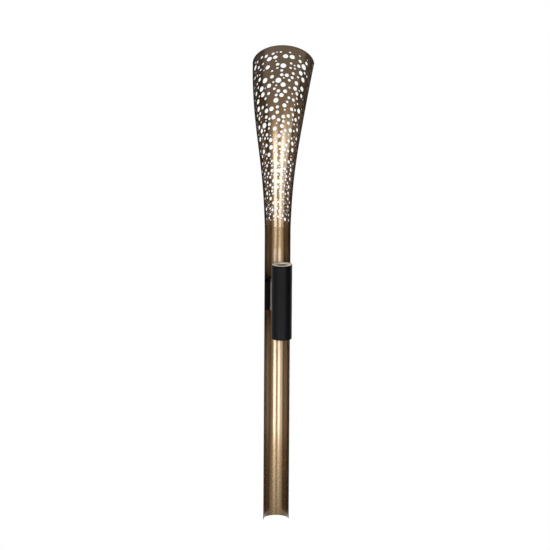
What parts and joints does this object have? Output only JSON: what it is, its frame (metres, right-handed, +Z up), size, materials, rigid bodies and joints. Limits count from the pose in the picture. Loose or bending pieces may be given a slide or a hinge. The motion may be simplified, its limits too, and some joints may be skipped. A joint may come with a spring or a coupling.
{
  "type": "torch wall sconce",
  "caption": "Tall half-round bronze wall sconce that flares into a perforated torch shade, washed by a leather-sleeved tube light standing off its mouth.",
  "frame": {"origin": "on the wall plate's back face, behind the middle of the light tube", "axes": "+Z up along the channel, +Y into the wall, -Y to the room, +X to the right as seen from the room"},
  "size_m": [0.1508, 0.138, 1.1991],
  "materials": {
    "bronze": "satin bronze, brushed lengthwise",
    "bronze_shade": "satin bronze, brushed lengthwise",
    "zinc_plate": "zinc plated",
    "black_metal": "satin black",
    "steel_screw": "plain steel",
    "brass_screw": "turned brass",
    "rubber": "matte",
    "black_plastic": "matte black",
    "white_plastic": "matte",
    "warm_nickel": "satin warm nickel",
    "aluminium": "mill finish",
    "leather": "black saddle leather, satin",
    "frosted_lens": "frosted",
    "reflector": "satin",
    "led_board": "phosphor on a white board",
    "lead_jacket": "silicone jacket"
  },
  "bodies": {
    "root": {"channel": "bronze", "shade": "bronze_shade", "wall_plate": "zinc_plate", "cradle": "black_metal", "cradle_grub_screws": "steel_screw", "channel_screws": "steel_screw", "upper_spacer": "bronze", "lower_spacer": "bronze", "upper_spacer_pad": "rubber", "lower_spacer_pad": "rubber", "box_body": "black_plastic", "box_lid": "black_plastic", "lid_screws": "brass_screw", "box_grommet": "rubber", "terminal_block": "white_plastic", "led_driver": "white_plastic", "saddle": "warm_nickel", "saddle_screws": "steel_screw", "nut_plate": "zinc_plate", "light_tube": "aluminium", "leather_sleeve": "leather", "top_bezel": "warm_nickel", "bottom_bezel": "warm_nickel", "top_lens": "frosted_lens", "bottom_lens": "frosted_lens", "top_reflector": "reflector", "bottom_reflector": "reflector", "top_led": "led_board", "bottom_led": "led_board", "top_heat_sink": "aluminium", "bottom_heat_sink": "aluminium", "feed_lead": "lead_jacket", "led_leads": "lead_jacket"}
  },
  "joints": []
}
